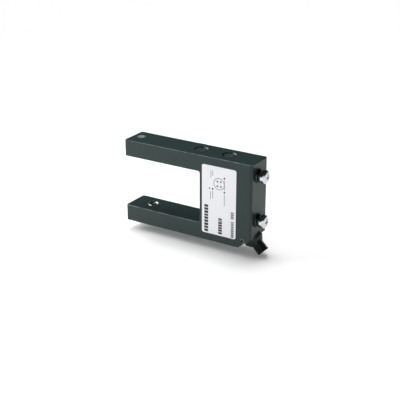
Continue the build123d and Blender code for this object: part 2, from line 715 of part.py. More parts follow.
def pieces():
    """Every piece of the sensor by its node's name."""
    connector = connector_plane()
    upper, lower = (mount_plane(height) for height in MOUNT_HEIGHTS)
    parts = {
        "housing": housing(),
        "back_cover": back_cover(),
        "cover_gasket": cover_gasket(),
        "cover_screws": cover_screws(),
        "label": label(),
        "circuit_board": circuit_board(),
        "controller_chip": controller_chip(),
        "output_driver": output_driver(),
        "supply_capacitors": supply_capacitors(),
        "emitter_bezel": bezel(),
        "emitter_lens": lens(),
        "emitter_holder": diode_holder(),
        "emitter_diode": diode(domed=True),
        "receiver_bezel": mirror(bezel(), about=Plane.XY),
        "receiver_lens": mirror(lens(), about=Plane.XY),
        "receiver_holder": mirror(diode_holder(), about=Plane.XY),
        "receiver_diode": mirror(diode(domed=False), about=Plane.XY),
        "indicator_window": indicator_window(),
        "indicator_lamp": indicator_lamp(),
        "connector_shell": connector * connector_shell(),
        "connector_insert": connector * connector_insert(),
        "connector_key": connector * connector_key(),
        "contact_pins": connector * contact_pins(),
        "connector_seal": connector * connector_seal(),
        "connector_leads": connector_leads(),
        "connector_lock_screw": lock_screw(),
    }
    for name, plane in (("upper", upper), ("lower", lower)):
        parts[f"{name}_mount_screw"] = plane * mount_screw()
        parts[f"{name}_flat_washer"] = plane * flat_washer()
        parts[f"{name}_spring_washer"] = plane * spring_washer()
    for name, distance, slots in (
        ("sensitivity", SENSITIVITY_FROM_REAR, SENSITIVITY_SLOTS),
        ("mode", MODE_FROM_REAR, MODE_SLOTS),
    ):
        parts[f"{name}_bush"] = adjuster_bush(distance)
        parts[f"{name}_rotor"] = adjuster_rotor(distance, slots)
        parts[f"{name}_seal"] = adjuster_seal(distance)
        parts[f"{name}_case"] = adjuster_case(distance)
    return parts


def main():
    """Writes one file for each piece."""
    os.makedirs("parts", exist_ok=True)
    for name, shape in pieces().items():
        export_step(shape, f"parts/{name}.step")


main()
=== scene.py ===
"""Fork sensor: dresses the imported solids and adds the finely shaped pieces, the studio and the camera.

Everything is in metres, in the frame of the solids: X runs from the arm tips to the rear, Z is up,
and the origin is on the rear face, at mid height and mid thickness. Sizes are written in
millimetres and turned by MM.
"""

import json
import logging
import math
from collections.abc import Callable, Iterable, Sequence
from dataclasses import dataclass
from enum import Enum

import bmesh
import bpy
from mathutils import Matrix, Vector

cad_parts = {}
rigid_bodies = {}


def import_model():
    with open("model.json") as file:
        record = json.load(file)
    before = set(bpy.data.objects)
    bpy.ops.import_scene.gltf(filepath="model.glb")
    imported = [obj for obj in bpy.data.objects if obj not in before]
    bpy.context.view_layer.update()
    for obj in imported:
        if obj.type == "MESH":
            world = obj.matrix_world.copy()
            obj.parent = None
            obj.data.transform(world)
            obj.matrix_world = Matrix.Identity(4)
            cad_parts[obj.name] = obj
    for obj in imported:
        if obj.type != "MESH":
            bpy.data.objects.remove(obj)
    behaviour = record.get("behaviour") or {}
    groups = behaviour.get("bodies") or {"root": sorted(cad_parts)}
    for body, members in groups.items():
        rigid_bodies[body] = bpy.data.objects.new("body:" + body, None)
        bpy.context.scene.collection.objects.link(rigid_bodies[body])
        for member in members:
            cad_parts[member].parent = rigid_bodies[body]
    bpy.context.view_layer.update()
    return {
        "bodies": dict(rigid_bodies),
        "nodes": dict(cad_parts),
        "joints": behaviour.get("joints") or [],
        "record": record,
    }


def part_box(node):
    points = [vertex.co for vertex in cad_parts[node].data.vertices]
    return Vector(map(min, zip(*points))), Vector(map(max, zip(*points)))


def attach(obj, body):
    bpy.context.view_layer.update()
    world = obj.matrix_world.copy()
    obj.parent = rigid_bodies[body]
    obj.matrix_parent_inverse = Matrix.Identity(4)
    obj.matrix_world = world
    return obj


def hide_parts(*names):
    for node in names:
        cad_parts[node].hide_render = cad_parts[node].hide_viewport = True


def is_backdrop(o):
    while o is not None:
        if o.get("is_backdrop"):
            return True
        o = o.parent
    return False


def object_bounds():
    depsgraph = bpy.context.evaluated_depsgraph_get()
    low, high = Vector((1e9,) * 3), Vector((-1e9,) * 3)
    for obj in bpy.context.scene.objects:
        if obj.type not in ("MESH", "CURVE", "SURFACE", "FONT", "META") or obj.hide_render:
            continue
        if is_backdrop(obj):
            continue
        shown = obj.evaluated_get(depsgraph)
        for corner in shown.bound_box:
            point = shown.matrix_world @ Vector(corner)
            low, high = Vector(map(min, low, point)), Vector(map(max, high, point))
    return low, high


LOG = logging.getLogger("fork_sensor")
MM = 0.001  # metres in a millimetre
BODY = "sensor"  # the CAD body that every added piece rides on
Pair = tuple[float, float]
Tree = bpy.types.NodeTree
Socket = bpy.types.NodeSocket
MIX_A, MIX_B, MIXED = 6, 7, 2  # a mix node's two colour inputs and its colour output
WAVES_PER_SCALE = 0.31416  # a wave texture of scale 1 has a wave every 0.31416 units
NOISE_RANGE = (0.3, 0.7)  # nearly all of a noise texture's values lie between these
SAME_POINT_M = 1e-7  # corners of neighbouring faces that lie this close are one corner
SHARP_DEGREES = 35.0  # faces that meet at more than this angle have an edge to break


def linear(code: str) -> tuple[float, float, float, float]:
    """Turns an sRGB hex colour into linear light.

    Args:
        code: Six hex digits after a hash sign.

    Returns:
        Red, green, blue and an alpha of one.
    """
    shares = [int(code[i:i + 2], 16) / 255 for i in (1, 3, 5)]
    red, green, blue = (s / 12.92 if s <= 0.04045 else ((s + 0.055) / 1.055) ** 2.4 for s in shares)
    return red, green, blue, 1.0


def per_metre(size_mm: float) -> float:
    """Noise scale, in metres, whose features are about this many millimetres wide."""
    return 1.0 / (size_mm * MM)


def add_node(tree: Tree, kind: str, settings: dict | None = None,
             links: dict | None = None) -> bpy.types.Node:
    """Adds a shader node with its settings and links.

    Args:
        tree: The node tree.
        kind: The node's Blender type.
        settings: Values by the node's own attribute, or else by its input's name or number.
        links: Sockets that feed the node, by its input's name or number.

    Returns:
        The new node.
    """
    node = tree.nodes.new(kind)
    for key, value in (settings or {}).items():
        if isinstance(key, str) and hasattr(node, key):
            setattr(node, key, value)
        else:
            node.inputs[key].default_value = value
    for key, socket in (links or {}).items():
        tree.links.new(socket, node.inputs[key])
    return node


# Finishes


@dataclass(frozen=True)
class Finish:
    """What all finishes share: a colour in patches, an uneven gloss and a fine relief.

    Fields give two sRGB colours that the patches go between, the sizes of patches and grain, the
    grain's height, how far the gloss drifts from patch to patch, and the pattern's scale along each
    axis, where less than one draws it out. Plated, polished and moulded surfaces have a grain too
    fine to show, so theirs is drawn as coarse as it needs to show.
    """

    name: str
    colour: str
    patch_colour: str
    roughness: float
    patch_mm: float = 9.0
    grain_mm: float = 0.35
    grain_height_mm: float = 0.008
    gloss_drift: float = 0.06
    metallic: float = 0.0
    ior: float = 1.5
    stretch: tuple[float, float, float] = (1.0, 1.0, 1.0)

    def build(self) -> bpy.types.Material:
        """Makes the material with its nodes.

        Returns:
            The material.
        """
        material = bpy.data.materials.new(self.name)
        material.use_nodes = True
        tree = material.node_tree
        shader = tree.nodes["Principled BSDF"]
        place = add_node(tree, "ShaderNodeTexCoord").outputs["Object"]
        place = add_node(tree, "ShaderNodeMapping", {"Scale": self.stretch}, {"Vector": place}).outputs[0]
        patches = add_node(tree, "ShaderNodeTexNoise", {"Scale": per_metre(self.patch_mm), "Detail": 3.0},
                           {"Vector": place}).outputs[0]
        grain = add_node(tree, "ShaderNodeTexNoise", {"Scale": per_metre(self.grain_mm), "Detail": 2.0},
                         {"Vector": place}).outputs[0]
        colours = {MIX_A: linear(self.colour), MIX_B: linear(self.patch_colour)}
        colour = add_node(tree, "ShaderNodeMix", {"data_type": "RGBA", **colours}, {0: patches})
        colour = self.tint(tree, place, colour.outputs[MIXED])
        start, full = NOISE_RANGE
        gloss = add_node(tree, "ShaderNodeMapRange",
                         {"From Min": start, "From Max": full, "To Min": self.roughness - self.gloss_drift,
                          "To Max": self.roughness + self.gloss_drift}, {"Value": patches}).outputs[0]
        height = self.surface(tree, place, grain)
        relief = add_node(tree, "ShaderNodeBump", {"Strength": 1.0, "Distance": self.grain_height_mm * MM},
                          {"Height": height}).outputs[0]
        tree.links.new(colour, shader.inputs["Base Color"])
        tree.links.new(gloss, shader.inputs["Roughness"])
        tree.links.new(relief, shader.inputs["Normal"])
        shader.inputs["Metallic"].default_value = self.metallic
        shader.inputs["IOR"].default_value = self.ior
        self.adjust(shader)
        return material

    def tint(self, tree: Tree, place: Socket, colour: Socket) -> Socket:
        """Changes the colour where the finish needs it; plain finishes leave it."""
        return colour

    def surface(self, tree: Tree, place: Socket, grain: Socket) -> Socket:
        """Gives the relief's height; plain finishes use the grain alone."""
        return grain

    def adjust(self, shader: bpy.types.Node) -> None:
        """Sets further values on the shader; plain finishes need none."""


@dataclass(frozen=True)
class EdgeWearAndHighlight(Finish):
    """A coat that is paler along its outer edges.

    On most finishes the paler edge is rubbed wear; on the flat washers and the lock screw it is a
    painted highlight. Fields give the paler colour, its width and strength and the size of the gaps
    in it, and how nearly the rounded-off normal agrees with the true one where it starts and is full.
    """

    wear_and_highlight_colour: str = "#5A6866"
    wear_and_highlight_width_mm: float = 0.45
    wear_and_highlight_share: float = 0.5
    gap_mm: float = 2.5
    agreement: Pair = (0.99, 0.9)

    def tint(self, tree: Tree, place: Socket, colour: Socket) -> Socket:
        """Lays the paler edge colour where the rounded-off normal leaves the true one.

        Args:
            tree: The material's nodes.
            place: Where the surface is, in metres.
            colour: The colour so far.

        Returns:
            The colour with the paler edges.
        """
        true = add_node(tree, "ShaderNodeNewGeometry").outputs["True Normal"]
        soft = add_node(tree, "ShaderNodeBevel",
                        {"samples": 4, "Radius": self.wear_and_highlight_width_mm * MM}).outputs[0]
        agree = add_node(tree, "ShaderNodeVectorMath", {"operation": "DOT_PRODUCT"}, {0: true, 1: soft})
        start, full = self.agreement
        edge = add_node(tree, "ShaderNodeMapRange",
                        {"From Min": start, "From Max": full, "To Min": 0.0, "To Max": self.wear_and_highlight_share},
                        {"Value": agree.outputs["Value"]}).outputs[0]
        broken = add_node(tree, "ShaderNodeTexNoise", {"Scale": per_metre(self.gap_mm), "Detail": 4.0},
                          {"Vector": place}).outputs[0]
        share = add_node(tree, "ShaderNodeMath", {"operation": "MULTIPLY"}, {0: edge, 1: broken}).outputs[0]
        # Paler edges: rubbed wear on most finishes, a painted highlight on the flat washers and the lock
        # screw.
        return add_node(tree, "ShaderNodeMix", {"data_type": "RGBA", MIX_B: linear(self.wear_and_highlight_colour)},
                        {0: share, MIX_A: colour}).outputs[MIXED]


@dataclass(frozen=True)
class Coated(EdgeWearAndHighlight):
    """Powder coat: melted grit leaves a fine orange peel, coarser swells lie under it.

    A painted highlight makes it paler along the long rounded edges, away from the connector's corner
    and less near the upper tip, in the wells only at their rear ends, and painted shade darkens the
    connector's neck. Each pair gives where an effect starts and where it is full: corner, neck and tip
    as X less Z, outer as the distance from mid thickness, lean as the lesser of the normal's two parts
    across the arms, rear_lean as its part along them, and gaps as the noise that breaks the highlight up.
    """

    gap_mm: float = 3.5
    gaps: Pair = (0.25, 0.6)
    lean: Pair = (0.15, 0.5)
    rear_lean: Pair = (-0.1, -0.3)
    corner_mm: Pair = (20.0, 18.0)
    outer_mm: Pair = (7.5, 8.5)
    tip_mm: Pair = (-115.0, -75.0)
    tip_share: float = 0.3
    # Where painted shade darkens the connector's neck, and the shade's colour.
    neck_mm: Pair = (19.8, 20.1)
    neck_shade_colour: str = "#0C1716"
    swell_mm: float = 2.2
    swell_weight: float = 1.6

    def tint(self, tree: Tree, place: Socket, colour: Socket) -> Socket:
        """Lays a painted highlight where the surface faces between up or down and front or back.

        Args:
            tree: The material's nodes.
            place: Where the surface is, in metres.
            colour: The colour so far.

        Returns:
            The colour with the rubbed edges and the blacked neck.
        """
        normal = add_node(tree, "ShaderNodeNewGeometry").outputs["Normal"]
        along = add_node(tree, "ShaderNodeSeparateXYZ", links={0: normal}).outputs["X"]
        facing = add_node(tree, "ShaderNodeVectorMath", {"operation": "ABSOLUTE"}, {0: normal}).outputs[0]
        facing = add_node(tree, "ShaderNodeSeparateXYZ", links={0: facing}).outputs
        at = add_node(tree, "ShaderNodeSeparateXYZ", links={0: place}).outputs
        lean, corner, depth = (
            add_node(tree, "ShaderNodeMath", {"operation": operation}, links).outputs[0]
            for operation, links in (
                ("MINIMUM", {0: facing["Y"], 1: facing["Z"]}),
                ("SUBTRACT", {0: at["X"], 1: at["Z"]}),
                ("ABSOLUTE", {0: at["Y"]}),
            ))
        gaps = add_node(tree, "ShaderNodeTexNoise", {"Scale": per_metre(self.gap_mm), "Detail": 4.0},
                        {"Vector": place}).outputs[0]
        edge, away, tip, outer, ends, broken, neck = (
            add_node(tree, "ShaderNodeMapRange",
                     {"From Min": start * unit, "From Max": full * unit, "To Min": least, "To Max": most},
                     {"Value": value}).outputs[0]
            for value, (start, full), unit, least, most in (
                (lean, self.lean, 1.0, 0.0, self.wear_and_highlight_share),
                (corner, self.corner_mm, MM, 0.0, 1.0),
                (corner, self.tip_mm, MM, self.tip_share, 1.0),
                (depth, self.outer_mm, MM, 0.0, 1.0),
                (along, self.rear_lean, 1.0, 0.0, 1.0),
                (gaps, self.gaps, 1.0, 0.0, 1.0),
                (corner, self.neck_mm, MM, 0.0, 1.0),
            ))
        outer = add_node(tree, "ShaderNodeMath", {"operation": "MAXIMUM"}, {0: outer, 1: ends}).outputs[0]
        share = edge
        for factor in (away, tip, outer, broken):
            share = add_node(tree, "ShaderNodeMath", {"operation": "MULTIPLY"},
                             {0: share, 1: factor}).outputs[0]
        # Mixes in the painted edge highlight, then the painted shade on the connector's neck.
        for code, part in ((self.wear_and_highlight_colour, share), (self.neck_shade_colour, neck)):
            colour = add_node(tree, "ShaderNodeMix", {"data_type": "RGBA", MIX_B: linear(code)},
                              {0: part, MIX_A: colour}).outputs[MIXED]
        return colour

    def surface(self, tree: Tree, place: Socket, grain: Socket) -> Socket:
        """Adds low swells to the fine grain.

        Args:
            tree: The material's nodes.
            place: Where the surface is, in metres.
            grain: The fine grain's height.

        Returns:
            The height of both together.
        """
        swell = add_node(tree, "ShaderNodeTexNoise", {"Scale": per_metre(self.swell_mm), "Detail": 1.0},
                         {"Vector": place}).outputs[0]
        return add_node(tree, "ShaderNodeMath", {"operation": "MULTIPLY_ADD", 1: self.swell_weight},
                        {0: swell, 2: grain}).outputs[0]


@dataclass(frozen=True)
class Clear(Finish):
    """Glass or resin that light passes through."""

    passes: float = 1.0

    def adjust(self, shader: bpy.types.Node) -> None:
        """Lets light through."""
        shader.inputs["Transmission Weight"].default_value = self.passes


@dataclass(frozen=True)
class Ribbed(Clear):
    """Clear plastic with moulded ribs across it."""

    rib_mm: float = 1.5
    rib_height_mm: float = 0.12

    def surface(self, tree: Tree, place: Socket, grain: Socket) -> Socket:
        """Adds round ribs to the fine grain.

        Args:
            tree: The material's nodes.
            place: Where the surface is, in metres.
            grain: The fine grain's height.

        Returns:
            The height of both together.
        """
        wave = add_node(tree, "ShaderNodeTexWave", {"bands_direction": "DIAGONAL", "Distortion": 0.0,
                                                    "Scale": per_metre(self.rib_mm) * WAVES_PER_SCALE},
                        {"Vector": place}).outputs[1]
        weight = self.rib_height_mm / self.grain_height_mm
        return add_node(tree, "ShaderNodeMath", {"operation": "MULTIPLY_ADD", 1: weight},
                        {0: wave, 2: grain}).outputs[0]


# Die-cast zinc alloy under a powder coat: a dark grey-green satin, with a highlight painted paler along the
# edges and shade painted dark on the connector's neck.
HOUSING_PAINT = Coated("powder_coated_zinc", "#20302F", "#263634", 0.35, patch_mm=14.0, grain_mm=0.5,
                       grain_height_mm=0.010, gloss_drift=0.04, ior=1.36, wear_and_highlight_colour="#7E8D8B",
                       wear_and_highlight_share=0.9)
# Steel sheet under the same powder coat: a little smoother, because sheet has no casting skin.
# Its edges carry the same painted highlight.
COVER_PAINT = Coated("powder_coated_sheet", "#213130", "#263634", 0.34, patch_mm=20.0, grain_mm=0.5,
                     grain_height_mm=0.008, gloss_drift=0.04, ior=1.36, wear_and_highlight_colour="#7E8D8B",
                     wear_and_highlight_share=0.9)
# Nitrile rubber, moulded: matt black with hardly any shine.
RUBBER = Finish("moulded_nitrile_rubber", "#121212", "#191918", 0.75, patch_mm=4.0, grain_mm=0.15)
# Steel, bright zinc plated: pale grey, faintly blue, with a soft mirror.
ZINC_PLATE = Finish("zinc_plated_steel", "#A9ABAA", "#BDBFC0", 0.26, patch_mm=1.6, grain_mm=0.25,
                    grain_height_mm=0.002, gloss_drift=0.07, metallic=1.0)
# Steel, nickel plated: a bright, cool mirror with light handling marks.
NICKEL_PLATE = Finish("nickel_plated_steel", "#C6CACC", "#D3D6D8", 0.13, patch_mm=2.0, grain_mm=0.4,
                      grain_height_mm=0.001, gloss_drift=0.05, metallic=1.0)
# Spring steel, oil blackened and rubbed: dark grey metal with brighter corners.
SPRING_STEEL = EdgeWearAndHighlight("blackened_spring_steel", "#4A4B4B", "#606161", 0.30, patch_mm=1.2, grain_mm=0.2,
                         grain_height_mm=0.002, metallic=1.0, wear_and_highlight_colour="#A9AAAA", wear_and_highlight_width_mm=0.15)
# Steel, black zinc plated: the flat washers, nearly black, with a highlight painted bright on their rims.
BLACK_ZINC = EdgeWearAndHighlight("black_zinc_plated_steel", "#26282A", "#323537", 0.33, patch_mm=2.0, grain_mm=0.25,
                       grain_height_mm=0.003, metallic=1.0, wear_and_highlight_colour="#C4C8C8", wear_and_highlight_width_mm=0.3,
                       wear_and_highlight_share=1.0)
# Steel, oil blackened: the small lock screw, dark, with a glint painted bright on its rim.
BLACK_OXIDE = EdgeWearAndHighlight("black_oxide_steel", "#2E3132", "#3C3F40", 0.28, patch_mm=0.8, grain_mm=0.2,
                        grain_height_mm=0.003, metallic=1.0, wear_and_highlight_colour="#E2E4E4", wear_and_highlight_width_mm=0.45,
                        wear_and_highlight_share=1.0)
# Brass, turned and bright plated: the ring round each lens, a clean mirror.
PLATED_RING = Finish("plated_turned_brass", "#C4C5C4", "#D2D3D3", 0.22, patch_mm=1.5, grain_mm=0.3,
                     grain_height_mm=0.001, gloss_drift=0.04, metallic=1.0)
# Brass, black plated: a thin dark skin with a soft shine, greyer where a nut has rubbed it.
BLACK_BRASS = EdgeWearAndHighlight("black_plated_brass", "#0B1514", "#111D1B", 0.34, patch_mm=3.0, grain_mm=0.25,
                        grain_height_mm=0.003, ior=1.34, wear_and_highlight_colour="#33403D", wear_and_highlight_width_mm=0.12)
# Brass, gold plated: the pins' warm bright metal.
GOLD_PLATE = Finish("gold_plated_brass", "#D9A441", "#E3B55A", 0.18, patch_mm=0.8, grain_mm=0.2,
                    grain_height_mm=0.001, metallic=1.0)
# Polyester film with a satin top coat: an even cool white that scatters light softly.
LABEL_FILM = Finish("satin_polyester_film", "#E7E8EB", "#EBECEF", 0.42, patch_mm=11.0, grain_mm=0.3,
                    grain_height_mm=0.002, gloss_drift=0.04)
# Screen ink on the film: near black, and a paler grey for the thin work.
DARK_INK = Finish("black_screen_ink", "#17191B", "#26292B", 0.5, patch_mm=1.0, grain_mm=0.2,
                  grain_height_mm=0.002)
PALE_INK = Finish("grey_screen_ink", "#5C6264", "#707577", 0.5, patch_mm=1.0, grain_mm=0.2,
                  grain_height_mm=0.002)
# Crown glass, pressed and polished: clear, with the faintest green.
LENS_GLASS = Clear("polished_crown_glass", "#EFF6F3", "#F6FAF8", 0.03, patch_mm=3.0, grain_mm=0.8,
                   grain_height_mm=0.0004, gloss_drift=0.01, ior=1.52)
# Polycarbonate, moulded with ribs that spread the lamp's light: pale, in light and dark bands.
WINDOW_RESIN = Ribbed("ribbed_polycarbonate", "#A9B2B2", "#D9DEDE", 0.12, patch_mm=1.8, grain_mm=0.3,
                      grain_height_mm=0.002, ior=1.58, passes=0.75)
# Epoxy, cast round a diode: water clear for the emitter and the lamp.
CLEAR_EPOXY = Clear("cast_clear_epoxy", "#E6E6DF", "#F0F0EA", 0.08, patch_mm=1.0, grain_mm=0.4,
                    grain_height_mm=0.001, gloss_drift=0.02, passes=0.8)
# Epoxy with a daylight filter dye: nearly black with a red cast.
DARK_EPOXY = Finish("cast_filter_epoxy", "#160B0D", "#221013", 0.12, patch_mm=1.0, grain_mm=0.4,
                    grain_height_mm=0.001, gloss_drift=0.03)
# Acetal, moulded: the adjusters' sleeves, black with a soft shine over a spark-eroded mould's grain.
BLACK_ACETAL = Finish("moulded_black_acetal", "#0C1011", "#131819", 0.24, patch_mm=3.0, grain_mm=0.18,
                      grain_height_mm=0.006, ior=1.48)
# Glass-filled nylon, moulded: the rotors, dark blue-grey and slightly shiny from a polished mould.
GREY_NYLON = EdgeWearAndHighlight("moulded_grey_nylon", "#35403F", "#434E4D", 0.22, patch_mm=2.0, grain_mm=0.2,
                       grain_height_mm=0.004, ior=1.53, wear_and_highlight_colour="#9AA8AF", wear_and_highlight_width_mm=0.2)
# Glass-filled polyester, moulded: holders and cases behind the walls, plain matt black.
BLACK_POLYESTER = Finish("moulded_black_polyester", "#17191A", "#1F2122", 0.55, patch_mm=4.0,
                         grain_mm=0.3)
# Glass laminate under solder mask: glossy green over a woven ground.
LAMINATE = Finish("solder_masked_laminate", "#0F4A27", "#17603A", 0.28, patch_mm=1.1, grain_mm=0.4)
# Epoxy moulding compound: chip packages, charcoal with a laser-matt top.
CHIP_EPOXY = Finish("moulded_chip_epoxy", "#1E1F20", "#272829", 0.5, patch_mm=1.5, grain_mm=0.12)
# Aluminium, deep drawn: the capacitors' cans, drawn lines running up the can.
DRAWN_CAN = Finish("drawn_aluminium", "#BFC1C3", "#D0D2D4", 0.25, patch_mm=1.5, grain_mm=0.2,
                   grain_height_mm=0.002, metallic=1.0, stretch=(1.0, 0.1, 1.0))
# Plasticised vinyl, extruded: the leads' brown jackets.
LEAD_VINYL = Finish("extruded_brown_vinyl", "#5A3217", "#6B3D1E", 0.4, patch_mm=1.5, grain_mm=0.2)


def dress(frame: dict, finish: Finish, *names: str) -> None:
    """Gives CAD nodes a finish.

    Args:
        finish: The finish.
        names: The nodes.
    """
    material = finish.build()
    for name in names:
        for socket in frame["nodes"][name].material_slots:
            socket.material = material
        LOG.info("%s: %s", name, finish.name)


def soften(frame: dict, width_mm: float, *names: str) -> None:
    """Breaks the sharp edges of CAD nodes, as tumbling or a mould's radius does.

    Args:
        width_mm: Width of the broken edge.
        names: The nodes.
    """
    for name in names:
        node = frame["nodes"][name]
        weld = node.modifiers.new("joined_faces", "WELD")
        weld.merge_threshold = SAME_POINT_M
        edge = node.modifiers.new("broken_edges", "BEVEL")
        edge.width = width_mm * MM
        edge.segments = 2
        edge.angle_limit = math.radians(SHARP_DEGREES)
        edge.harden_normals = True


def add_piece(name: str, points: Sequence[Vector], faces: Sequence[Sequence[int]], finish: Finish,
              smooth_degrees: float = 0.0) -> bpy.types.Object:
    """Makes a mesh piece that rides on the sensor's body.

    Args:
        name: The piece's name.
        points: Its corners in metres.
        faces: Corner numbers of each face.
        finish: Its finish.
        smooth_degrees: Faces that meet at less than this angle are shaded as one; none at zero.

    Returns:
        The object.
    """
    mesh = bpy.data.meshes.new(name)
    mesh.from_pydata([tuple(p) for p in points], [], [tuple(f) for f in faces])
    form = bmesh.new()
    form.from_mesh(mesh)
    bmesh.ops.recalc_face_normals(form, faces=form.faces)
    for face in form.faces:
        face.smooth = smooth_degrees > 0
    for edge in form.edges:
        edge.smooth = edge.calc_face_angle(math.pi) < math.radians(smooth_degrees)
    form.to_mesh(mesh)
    form.free()
    mesh.materials.append(finish.build())
    piece = bpy.data.objects.new(name, mesh)
    bpy.context.scene.collection.objects.link(piece)
    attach(piece, BODY)
    LOG.info("%s: %d faces, %s", name, len(mesh.polygons), finish.name)
    return piece


# Sub-assemblies


@dataclass
class Casting:
    """The die-cast housing with its flush back cover, gasket, seals and screws."""

    def build(self, frame: dict) -> None:
        """Dresses the casting, the cover and what holds and seals it.
        """
        dress(frame, HOUSING_PAINT, "housing")
        dress(frame, COVER_PAINT, "back_cover")
        dress(frame, RUBBER, "cover_gasket", "connector_seal", "sensitivity_seal", "mode_seal")
        dress(frame, ZINC_PLATE, "cover_screws")
        dress(frame, BLACK_OXIDE, "connector_lock_screw")


class MarkKind(Enum):
    """The plain shapes on the label."""

    BAR = "bar"
    RING = "ring"
    DOT = "dot"
    DIAMOND = "diamond"


@dataclass(frozen=True)
class Mark:
    """One printed mark: its kind, middle, and width and height, from the label's upper left corner."""

    kind: MarkKind
    across: float
    down: float
    width: float
    height: float

    def outlines(self, stroke: float) -> list[list[Pair]]:
        """The mark's outline, or outer and inner outline, in label millimetres.

        Args:
            stroke: Width of a ring's line.

        Returns:
            One or two closed loops of points.
        """
        if self.kind is MarkKind.BAR:
            turns = [(1, 1), (-1, 1), (-1, -1), (1, -1)]
            return [[(self.across + x * self.width / 2, self.down + y * self.height / 2) for x, y in turns]]
        count = {MarkKind.DIAMOND: 4, MarkKind.DOT: 20, MarkKind.RING: 72}[self.kind]
        sizes = [0.0] if self.kind is not MarkKind.RING else [0.0, stroke]
        angles = [2 * math.pi * i / count for i in range(count)]
        return [[(self.across + (self.width / 2 - inner) * math.cos(a),
                  self.down + (self.height / 2 - inner) * math.sin(a)) for a in angles] for inner in sizes]


@dataclass(frozen=True)
class Column:
    """A column of plain bars: its middle, upper end and width, and each bar's height and space after it."""

    across: float
    top: float
    width: float
    steps: tuple[Pair, ...]

    def bars(self) -> list[Mark]:
        """Lays the bars out from the top down.

        Returns:
            The bars.
        """
        marks = []
        top = self.top
        for height, space in self.steps:
            marks.append(Mark(MarkKind.BAR, self.across, top + height / 2, self.width, height))
            top += height + space
        return marks


@dataclass
class RatingLabel:
    """The white film on the front face, with a pin diagram and plain bars as its only print.

    Places are in millimetres from the label's upper left corner. Each thin line is given by its
    middle and its length, and the tick is one short bar between them.
    """

    ink_mm: float = 0.02
    stroke_mm: float = 0.34
    ring_mm: Pair = (12.0, 10.75)
    ring_radius_mm: float = 3.75
    pin_offset_mm: Pair = (1.2, 1.5)
    pin_mm: float = 1.1
    diamond_mm: float = 1.5
    diamonds: tuple[Pair, ...] = ((7.6, 14.6), (15.75, 15.4), (15.65, 6.5))
    thin_lines: tuple[tuple[float, float, float], ...] = (
        (6.3, 5.2, 4.6), (7.6, 4.6, 3.2), (6.1, 18.9, 5.2), (7.6, 18.2, 4.6), (15.7, 10.9, 6.4),
        (15.7, 20.3, 7.2))
    tick: Mark = Mark(MarkKind.BAR, 5.4, 14.6, 0.9, 1.0)
    dark_columns: tuple[Column, ...] = (
        Column(3.1, 25.5, 2.7, ((1.6, 0.42), (1.5, 0.42), (1.7, 0.45), (1.4, 0.42), (1.6, 0.42),
                                (1.6, 0.42), (1.7, 0.42), (1.5, 0.45), (1.6, 0.0))),
        Column(12.9, 32.6, 2.6, ((1.0, 0.35), (0.6, 0.4), (1.3, 0.35), (1.3, 0.35), (1.3, 0.35),
                                 (1.3, 0.35), (1.4, 0.0))))
    pale_columns: tuple[Column, ...] = (
        Column(21.3, 26.9, 2.1, ((0.9, 0.3), (1.0, 0.3), (0.9, 0.3), (0.7, 0.0))),
        Column(21.4, 33.1, 1.9, ((0.7, 0.3),) * 3 + ((0.9, 0.3),) * 2 + ((1.1, 0.22),) * 3 + ((0.9, 0.0),)))

    def dark_marks(self) -> list[Mark]:
        """The marks in black: pins, diamonds and the two heavy columns of bars.

        Returns:
            The marks.
        """
        x, y = self.ring_mm
        dx, dy = self.pin_offset_mm
        marks = [Mark(MarkKind.DOT, x + i * dx, y + j * dy, self.pin_mm, self.pin_mm)
                 for i in (-1, 1) for j in (-1, 1)]
        marks += [Mark(MarkKind.DIAMOND, *place, self.diamond_mm, self.diamond_mm)
                  for place in self.diamonds]
        return marks + [bar for column in self.dark_columns for bar in column.bars()]

    def pale_marks(self) -> list[Mark]:
        """The marks in grey: the ring, its lead lines and rows of thin bars.

        Returns:
            The marks.
        """
        size = 2 * self.ring_radius_mm
        marks = [Mark(MarkKind.RING, *self.ring_mm, size, size)]
        marks += [Mark(MarkKind.BAR, x, y, self.stroke_mm, length) for x, y, length in self.thin_lines]
        marks.append(self.tick)
        return marks + [bar for column in self.pale_columns for bar in column.bars()]

    def print_marks(self, name: str, marks: Iterable[Mark], finish: Finish) -> None:
        """Builds the marks as thin ink on the film.

        Args:
            name: The piece's name.
            marks: What is printed.
            finish: The ink.
        """
        low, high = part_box("label")
        points: list[Vector] = []
        faces: list[list[int]] = []
        for mark in marks:
            loops = mark.outlines(self.stroke_mm)
            count = len(loops[0])
            first = len(points)
            for depth in (0.0, self.ink_mm):
                points += [Vector((low[0] + u * MM, low[1] - depth * MM, high[2] - v * MM))
                           for loop in loops for u, v in loop]
            layer = count * len(loops)
            # Walls join the two layers; a ring is closed between its outlines, other marks across.
            for i in range(count):
                j = (i + 1) % count
                faces.append([first + i, first + j, first + layer + j, first + layer + i])
                if len(loops) == 2:
                    faces.append([first + count + i, first + count + j, first + layer + count + j,
                                  first + layer + count + i])
                    faces += [[first + k + i, first + k + j, first + k + count + j, first + k + count + i]
                              for k in (0, layer)]
            if len(loops) == 1:
                faces += [[first + k + i for i in range(count)] for k in (0, layer)]
        add_piece(name, points, faces, finish)

    def build(self, frame: dict) -> None:
        """Dresses the film and prints on it.
        """
        dress(frame, LABEL_FILM, "label")
        self.print_marks("label_dark_print", self.dark_marks(), DARK_INK)
        self.print_marks("label_pale_print", self.pale_marks(), PALE_INK)


